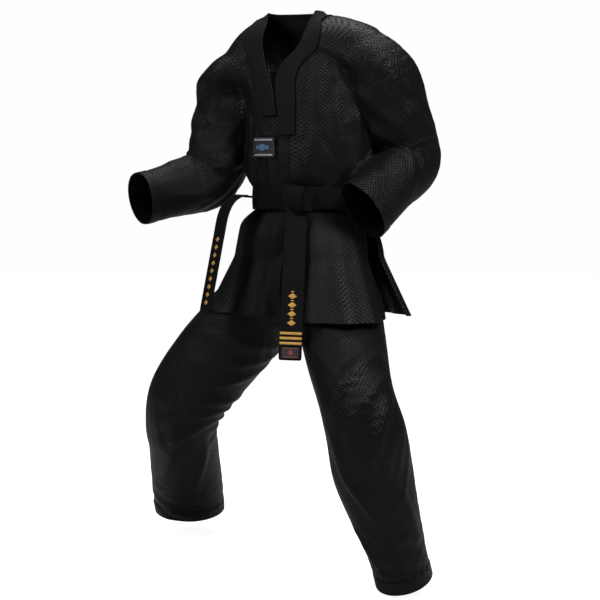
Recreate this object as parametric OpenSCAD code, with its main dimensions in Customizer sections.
// Martial arts uniform: V-neck jacket, trousers and tied belt, filled out as if worn in a
// low fighting stance. Millimetres, +Z up, the wearer faces -Y, origin in the neck opening.

/* [Cloth] */
// Thickness that every cloth wall is given
wall = 4; // [3:0.5:5]
// Free space kept between two pieces that move on each other
gap = 1.5; // [1.2:0.1:2]

/* [Jacket] */
// Half width of the jacket across the yoke, between the sleeve heads
yoke_half_w = 142; // [136:1:146]
// Half width of the jacket under the arms
chest_half_w = 110; // [104:1:112]
// Half depth of the jacket at the chest
chest_half_d = 98; // [92:1:102]
// Half width of the jacket at the belt
waist_half_w = 122; // [118:1:126]
// Half depth of the jacket at the belt
waist_half_d = 92; // [88:1:96]
// Width of the collar band
collar_w = 40; // [34:1:44]
// Length of the jacket skirt below the belt
skirt_len = 220; // [200:5:225]

/* [Sleeves] */
// Radius of the sleeve head at the shoulder
sleeve_head_r = 70; // [66:1:72]
// Radius of the sleeve at the elbow
elbow_r = 62; // [58:1:64]
// Half width of the cuff opening
cuff_half_w = 70; // [62:1:72]
// Half depth of the cuff opening
cuff_half_d = 46; // [42:1:50]

/* [Trousers] */
// Radius of the trouser leg at the hip
hip_r = 83; // [78:1:84]
// Radius of the trouser leg at the knee
knee_r = 76; // [72:1:80]
// Half width of the leg opening
leg_half_w = 80; // [74:1:84]
// Half depth of the leg opening
leg_half_d = 66; // [60:1:70]
// Height of the turned-up hem bands of cuffs and legs
hem_h = 30; // [20:1:35]

/* [Belt] */
// Width of the belt
belt_w = 50; // [40:1:52]
// Thickness of one layer of the belt
belt_t = 4; // [3:0.5:4.5]
// Length of the tail that hangs in front, from the knot
tail_len = 330; // [280:5:340]
// Number of rank bars on the front tail
bars = 3; // [1:1:5]

/* [Hidden] */

sides = 24;            // corners of every lofted ring
cloth_black = "#1d1d20";
trim_black = "#28282b";

// Centres that the wearer's body would hold, left and right as the wearer says them
shoulders = [[172, -70, -95], [-150, 72, -115]];
elbows = [[268, -25, -300], [-192, 100, -345]];
cuffs = [[145, -168, -412], [-355, -25, -388]];
hips = [[95, -42, -600], [-60, 40, -620]];
knees = [[138, -320, -843], [-278, 100, -888]];
hems = [[234, -230, -1211], [-273, 330, -1178]];
waist = [30, 0, -400];
belt_z = -388;         // height of the belt's middle
skirt_top = -436;      // height at which the skirt panels hang
LEFT = 0;
RIGHT = 1;

function unit(v) = v / norm(v);
function flat(v) = unit([v.x, v.y, 0]);
// Across the chest and across the hips, towards the wearer's left, and straight ahead
chest_x = flat(shoulders[LEFT] - shoulders[RIGHT]);
chest_y = [chest_x.y, -chest_x.x, 0];
hips_x = flat(hips[LEFT] - hips[RIGHT]);
hips_y = [hips_x.y, -hips_x.x, 0];
seat_mid = (hips[LEFT] + hips[RIGHT]) / 2;

// One point of an oval whose half axes are a along ux and b along uy; n above 2 squares it
function oval(mid, ux, uy, a, b, t, n = 2) =
    let (c = cos(t), s = sin(t))
    mid + a * sign(c) * pow(abs(c), 2 / n) * ux + b * sign(s) * pow(abs(s), 2 / n) * uy;
function full_ring(mid, ux, uy, a, b, n = 2) =
    [for (i = [0 : sides - 1]) oval(mid, ux, uy, a, b, 360 * i / sides, n)];

// Closed skin between an outer and an inner grid of points, both rings x columns.
// wrap joins the last column to the first, as in a tube.
module skin(outer, inner, wrap) {
    rows = len(outer);
    cols = len(outer[0]);
    last = wrap ? cols - 1 : cols - 2;
    function at(layer, r, c) = layer * rows * cols + r * cols + (c % cols);
    function quad(a, b, c, d) = [[a, b, c], [a, c, d]];
    faces = [
        for (r = [0 : rows - 2], c = [0 : last]) each
            quad(at(0, r, c), at(0, r + 1, c), at(0, r + 1, c + 1), at(0, r, c + 1)),
        for (r = [0 : rows - 2], c = [0 : last]) each
            quad(at(1, r, c), at(1, r, c + 1), at(1, r + 1, c + 1), at(1, r + 1, c)),
        for (c = [0 : last]) each
            quad(at(0, 0, c), at(0, 0, c + 1), at(1, 0, c + 1), at(1, 0, c)),
        for (c = [0 : last]) each
            quad(at(0, rows - 1, c), at(1, rows - 1, c), at(1, rows - 1, c + 1), at(0, rows - 1, c + 1)),
        if (!wrap) for (r = [0 : rows - 2]) each
            quad(at(0, r, 0), at(1, r, 0), at(1, r + 1, 0), at(0, r + 1, 0)),
        if (!wrap) for (r = [0 : rows - 2]) each
            quad(at(0, r, cols - 1), at(0, r + 1, cols - 1), at(1, r + 1, cols - 1), at(1, r, cols - 1))
    ];
    polyhedron(points = [for (layer = [outer, inner]) for (row = layer) each row], faces = faces);
}

/* ---- jacket body ---- */

// Half width, half depth and middle of the jacket at each height, from the belt to the neck
torso_rows = [
    [-424, waist_half_w + 1, waist_half_d + 1, [31, 0]],
    [-360, waist_half_w, waist_half_d, [29, 0]],
    [-290, chest_half_w + 2, chest_half_d, [24, 0]],
    [-200, chest_half_w, chest_half_d, [18, 0]],
    [-145, chest_half_w + 2, chest_half_d - 4, [14, 0]],
    [-95, yoke_half_w, chest_half_d - 14, [11, 0]],
    [-55, yoke_half_w - 18, chest_half_d - 28, [8, 0]],
    [-22, 90, 60, [4, 4]],
    [6, 68, 52, [0, 6]]];
function torso_point(row, t, inset) =
    oval([row[3].x, row[3].y, row[0]], chest_x, chest_y, row[1] - inset, row[2] - inset, t, 2.4);
function torso_panel(from, to, inset, cols) = [for (row = torso_rows)
    [for (i = [0 : cols]) torso_point(row, from(row[0]) + (to(row[0]) - from(row[0])) * i / cols, inset)]];
// Bearing of the left front edge, which runs from the neck down across the chest to the belt
v_top = -20;
v_apex = -175;
left_edge = function (z) z < v_apex ? 100 : 100 - 58 * (z - v_apex) / (v_top - v_apex + 30);
right_edge = function (z) z < v_apex ? 101.5 : 101.5 + 50 * (z - v_apex) / (v_top - v_apex + 30);
left_seam = function (z) 0;
right_seam = function (z) 180;

armhole_room = 11;     // space around a sleeve head, so that the sleeve clears the yoke when raised
// Clears the two sleeve heads out of a jacket panel
module armholes() {
    difference() {
        children();
        for (side = [LEFT, RIGHT])
            translate(shoulders[side])
                sphere(r = sleeve_head_r + armhole_room, $fn = 40);
    }
}
module torso_skin(from, to, cols) {
    armholes()
        skin(torso_panel(from, to, 0, cols), torso_panel(from, to, wall, cols), false);
}
module jacket_front_left() {
    color(cloth_black) torso_skin(left_seam, left_edge, 8);
}
module jacket_front_right() {
    color(cloth_black) torso_skin(right_edge, right_seam, 8);
}
module jacket_back() {
    color(cloth_black) torso_skin(function (z) 180.5, function (z) 359.5, 14);
}

collar_top = 34;       // the collar stands this high above the origin
stand_row = [collar_top, 64, 46, [-2, 10]];
band_lift = 2;         // space between a band and the panel that it is sewn on
outline_rows = concat(torso_rows, [stand_row]);
// The jacket's outline at any height, collar included
function row_at(z) =
    let (k = max([for (i = [0 : len(outline_rows) - 2]) if (outline_rows[i][0] <= z) i]),
         lo = outline_rows[k], hi = outline_rows[k + 1], f = (z - lo[0]) / (hi[0] - lo[0]))
    [z, lo[1] + f * (hi[1] - lo[1]), lo[2] + f * (hi[2] - lo[2]), lo[3] + f * (hi[3] - lo[3])];
// Strip of cloth on the outside of the jacket, between two bearings at each height
module strip(heights, from, to, lift, thick, cols) {
    function layer(out) = [for (z = heights)
        [for (i = [0 : cols]) torso_point(row_at(z), from(z) + (to(z) - from(z)) * i / cols, -out)]];
    skin(layer(lift + thick), layer(lift), false);
}
band_turn = function (z) collar_w / (0.0175 * row_at(z)[1]);
collar_heights = [-245, -210, -175, -135, -95, -55, -22, 6, collar_top];
module collar_left() {
    color(trim_black) strip(collar_heights, function (z) left_edge(z) - band_turn(z), left_edge,
        band_lift, wall, 3);
}
module collar_right() {
    color(trim_black) strip([for (z = collar_heights) if (z >= v_apex) z], right_edge,
        function (z) right_edge(z) + band_turn(z), band_lift, wall, 3);
}
module collar_back() {
    color(trim_black) strip([-12, 6, collar_top], function (z) right_edge(z) + band_turn(z) + 1.5,
        function (z) 358.5 + left_edge(z) - band_turn(z), band_lift, wall, 10);
}
patch_h = 44;
module chest_patch() {
    color("#20242c") strip([-250 - patch_h, -250], function (z) 102, function (z) 124, band_lift, 1.5, 3);
}

/* ---- skirt of the jacket, below the belt ---- */

skirt_rise = 1 / 4;    // share of the skirt between two rows
flare_w = 60;          // how far the hem stands out at the sides
flare_d = 30;          // how far it stands out in front and behind
// Outward push over a thigh: strongest at one bearing, fading to both sides
function bulge(t, peak, size, spread) = size * exp(-pow((t - peak) / spread, 2));
function skirt_point(t, s, inset, push) =
    oval([waist.x, waist.y, skirt_top - s * skirt_len], hips_x, hips_y,
        waist_half_w + 2 + s * (flare_w + push) - inset,
        waist_half_d + 3 + s * (flare_d + push) - inset, t);
module skirt_panel(from, to, push, cols) {
    function layer(inset) = [for (s = [0 : skirt_rise : 1])
        [for (i = [0 : cols]) let (t = from(s) + (to(s) - from(s)) * i / cols)
            skirt_point(t, s, inset, push(t))]];
    skin([for (k = [len(layer(0)) - 1 : -1 : 0]) layer(0)[k]],
        [for (k = [len(layer(0)) - 1 : -1 : 0]) layer(wall)[k]], false);
}
module skirt_front_left() {
    color(cloth_black) skirt_panel(function (s) 8, function (s) 88,
        function (t) bulge(t, 50, 125, 32), 8);
}
module skirt_front_right() {
    color(cloth_black) skirt_panel(function (s) 94, function (s) 177,
        function (t) bulge(t, 167, 98, 42), 8);
}
module skirt_back() {
    color(cloth_black) skirt_panel(function (s) 184, function (s) 346,
        function (t) bulge(t, 184, 118, 44), 14);
}

/* ---- sleeves and trouser legs ---- */

no_cut = function (t) 0;
// Tube around a line: each row is [distance along, half width, half depth]; last_cut may bevel its end
module tube(start, dir, ux, rows, last_cut, skin_wall) {
    uy = cross(dir, ux);
    function ring(row, inset, cut) = [for (i = [0 : sides - 1]) let (t = 360 * i / sides)
        oval(start + (row[0] + cut(t)) * dir, ux, uy, row[1] - inset, row[2] - inset, t)];
    function layer(inset) = [for (k = [len(rows) - 1 : -1 : 0])
        ring(rows[k], inset, k == len(rows) - 1 ? last_cut : no_cut)];
    skin(layer(0), layer(skin_wall), true);
}
// Rows of a ball-shaped head around the start of a limb, open towards the body
function head_rows(r, first) = [for (phi = [first : 15 : 90]) [-r * cos(phi), r * sin(phi), r * sin(phi)]];

// Upper half of a limb: round head inside the body's opening, then a tube whose far end is cut
// on a slant around the ball head of the lower half. bend is the sharpest bend that the slant allows.
module limb_upper(top, joint, end, head_r, joint_r, bend, first) {
    dir = unit(joint - top);
    onward = unit(end - joint);
    inner = unit(onward - (onward * dir) * dir);
    length = norm(joint - top);
    mouth = joint_r + gap + wall;
    reach = mouth * tan(bend / 2);
    bevel = function (t) min(0.25 * joint_r, -cos(t) * mouth * tan(bend / 2));
    rows = concat(head_rows(head_r, first),
        [[0.35 * (length - reach), (head_r + mouth) / 2, (head_r + mouth) / 2],
         [length - reach - 12, mouth, mouth], [length, mouth, mouth]]);
    tube(top, dir, inner, rows, bevel, wall);
}
// Lower half of a limb, down to its hem band; ux is the wide direction of its oval end
module limb_lower(joint, end, joint_r, half_w, half_d, wide, first) {
    dir = unit(end - joint);
    ux = unit(wide - (wide * dir) * dir);
    length = norm(end - joint);
    function at(f) = [f * length, joint_r + f * (half_w - joint_r), joint_r + f * (half_d - joint_r)];
    rows = concat(head_rows(joint_r, first), [at(0.5), at(1 - hem_h / length)]);
    tube(joint, dir, ux, rows, no_cut, wall);
}
module limb_hem(joint, end, joint_r, half_w, half_d, wide) {
    dir = unit(end - joint);
    ux = unit(wide - (wide * dir) * dir);
    length = norm(end - joint);
    f = 1 - hem_h / length;
    tube(joint, dir, ux, [[length - hem_h, joint_r + f * (half_w - joint_r), joint_r + f * (half_d - joint_r)],
        [length, half_w, half_d]], no_cut, wall);
}
sleeve_bend = [112, 104];
leg_bend = [96, 84];
cuff_wide = [[0.35, 0, -1], [0.15, 0, 1]];
leg_wide = [1, 0, 0];
module sleeve_upper(side) {
    color(cloth_black) limb_upper(shoulders[side], elbows[side], cuffs[side], sleeve_head_r, elbow_r,
        sleeve_bend[side], 45);
}
module sleeve_lower(side) {
    color(cloth_black) limb_lower(elbows[side], cuffs[side], elbow_r, cuff_half_w, cuff_half_d,
        cuff_wide[side], 60);
}
module cuff(side) {
    color(trim_black) limb_hem(elbows[side], cuffs[side], elbow_r, cuff_half_w, cuff_half_d,
        cuff_wide[side]);
}
module leg_upper(side) {
    color(cloth_black) limb_upper(hips[side], knees[side], hems[side], hip_r, knee_r, leg_bend[side], 45);
}
module leg_lower(side) {
    color(cloth_black) limb_lower(knees[side], hems[side], knee_r, leg_half_w, leg_half_d, leg_wide, 60);
}
module leg_hem(side) {
    color(trim_black) limb_hem(knees[side], hems[side], knee_r, leg_half_w, leg_half_d, leg_wide);
}

/* ---- trousers around the hips ---- */

band_half_w = waist_half_w - wall - 12;
band_half_d = waist_half_d - wall - 12;
band_low = -438;
seat_low = -511;
module trouser_waistband() {
    function ring(z, inset) = full_ring([waist.x, waist.y, z], hips_x, hips_y,
        band_half_w - inset, band_half_d - inset);
    color(trim_black) skin([ring(band_low, 0), ring(-400, 0)], [ring(band_low, wall), ring(-400, wall)], true);
}
// The seat hangs lower behind, over the backs of the legs
function seat_drop(t) = 42 * pow(max(0, -sin(t)), 2);
module trouser_seat() {
    mids = [seat_mid.x + 6, seat_mid.y, 0];
    function ring(f, inset) = [for (i = [0 : sides - 1]) let (t = 360 * i / sides)
        oval(mids * f + [waist.x, waist.y, 0] * (1 - f) + [0, 0, band_low + f * (seat_low - band_low - seat_drop(t))],
            hips_x, hips_y, band_half_w + f * 16 - inset, band_half_d + f * 8 - inset, t)];
    rows = [1, 0.5, 0];
    color(cloth_black) skin([for (f = rows) ring(f, 0)], [for (f = rows) ring(f, wall)], true);
}
// Diamond let in between the legs
module crotch_gusset() {
    low = seat_mid - [0, 0, 80];
    color(cloth_black) hull() {
        for (reach = [-62, 62])
            translate(seat_mid + reach * hips_y + [0, 0, 30]) rotate([0, 0, atan2(hips_x.y, hips_x.x)])
                cube([3, 14, 8], center = true);
        translate(low) rotate([0, 0, atan2(hips_x.y, hips_x.x)]) cube([3, 20, 8], center = true);
    }
}

/* ---- belt ---- */

belt_lift = 3;
module belt_wrap() {
    function ring(z, out) = full_ring([waist.x, waist.y, z], chest_x, chest_y,
        waist_half_w + out, waist_half_d + out, 2.4);
    low = belt_z - belt_w / 2;
    high = belt_z + belt_w / 2;
    color(trim_black) skin([ring(low, belt_lift + 2 * belt_t), ring(high, belt_lift + 2 * belt_t)],
        [ring(low, belt_lift), ring(high, belt_lift)], true);
}
knot = [-4, -114, belt_z];
knot_turn = atan2(chest_x.y, chest_x.x);
// Flat crossing of the two ends over the wrap, slanted as the ends pull on it
module belt_knot() {
    color(trim_black) translate(knot) rotate([0, 0, knot_turn]) hull()
        for (x = [-1, 1], z = [-1, 1])
            translate([x * 24, 0, z * 17 + x * 4]) rotate([90, 0, 0])
                cylinder(r = 9, h = 18, center = true, $fn = 32);
}
tail_top = [-2, -128, -422];
tail_end = [-15, -250, -735];
tail_dir = unit(tail_end - tail_top);
tail_face = unit(cross([1, 0, 0], tail_dir));
// Puts things on the front tail: X across it, Y out of its face, Z up along it from its end
module on_tail() {
    across = cross(tail_dir, tail_face);
    multmatrix([[-across.x, -tail_face.x, -tail_dir.x, tail_top.x + tail_len * tail_dir.x],
        [-across.y, -tail_face.y, -tail_dir.y, tail_top.y + tail_len * tail_dir.y],
        [-across.z, -tail_face.z, -tail_dir.z, tail_top.z + tail_len * tail_dir.z]])
        children();
}
module belt_tail_front() {
    color(trim_black) on_tail()
        translate([-belt_w / 2, -belt_t / 2, 0]) cube([belt_w, belt_t, tail_len]);
}
bar_low = 34;
bar_pitch = 11;
module rank_bars() {
    color("#c8922e") on_tail() for (k = [0 : bars - 1])
        translate([-belt_w / 2 + 1, belt_t / 2, bar_low + k * bar_pitch]) cube([belt_w - 2, 1, 5.5]);
}
module belt_end_label() {
    color("#3a2a2a") on_tail()
        translate([-belt_w / 2 + 6, belt_t / 2, 4]) cube([belt_w - 12, 0.8, 24]);
}
// Second tail: out from the side of the wrap, over in an arc, and down beside the hip
side_path = [[-106, -20, -384], [-130, -36, -380], [-152, -50, -394], [-166, -62, -424],
    [-175, -72, -470], [-184, -80, -520], [-194, -88, -575], [-206, -96, -640]];
side_face = unit([0.55, -1, 0]);
module belt_tail_side() {
    function along(k) = unit(side_path[min(k + 1, len(side_path) - 1)] - side_path[max(k - 1, 0)]);
    function corner(k, a, b) =
        let (d = along(k), thin = unit(cross(side_face, d)), broad = cross(d, thin))
        side_path[k] + a * belt_w / 2 * broad + b * belt_t / 2 * thin;
    rings = [for (k = [0 : len(side_path) - 1])
        [corner(k, -1, -1), corner(k, 1, -1), corner(k, 1, 1), corner(k, -1, 1)]];
    faces = concat([[3, 2, 1, 0]],
        [for (k = [0 : len(rings) - 2], i = [0 : 3]) each let (j = (i + 1) % 4)
            [[4 * k + i, 4 * k + j, 4 * k + 4 + j], [4 * k + i, 4 * k + 4 + j, 4 * k + 4 + i]]],
        [[for (i = [0 : 3]) 4 * (len(rings) - 1) + i]]);
    color(trim_black) polyhedron(points = [for (ring = rings) each ring], faces = faces);
}

jacket_front_left();
jacket_front_right();
jacket_back();
collar_left();
collar_right();
collar_back();
chest_patch();
skirt_front_left();
skirt_front_right();
skirt_back();
sleeve_upper(LEFT);  // sleeve_upper_left
sleeve_lower(LEFT);  // sleeve_lower_left
cuff(LEFT);  // cuff_left
sleeve_upper(RIGHT);  // sleeve_upper_right
sleeve_lower(RIGHT);  // sleeve_lower_right
cuff(RIGHT);  // cuff_right
trouser_waistband();
trouser_seat();
crotch_gusset();
leg_upper(LEFT);  // leg_upper_left
leg_lower(LEFT);  // leg_lower_left
leg_hem(LEFT);  // hem_left
leg_upper(RIGHT);  // leg_upper_right
leg_lower(RIGHT);  // leg_lower_right
leg_hem(RIGHT);  // hem_right
belt_wrap();
belt_knot();
belt_tail_front();
belt_tail_side();
rank_bars();
belt_end_label();
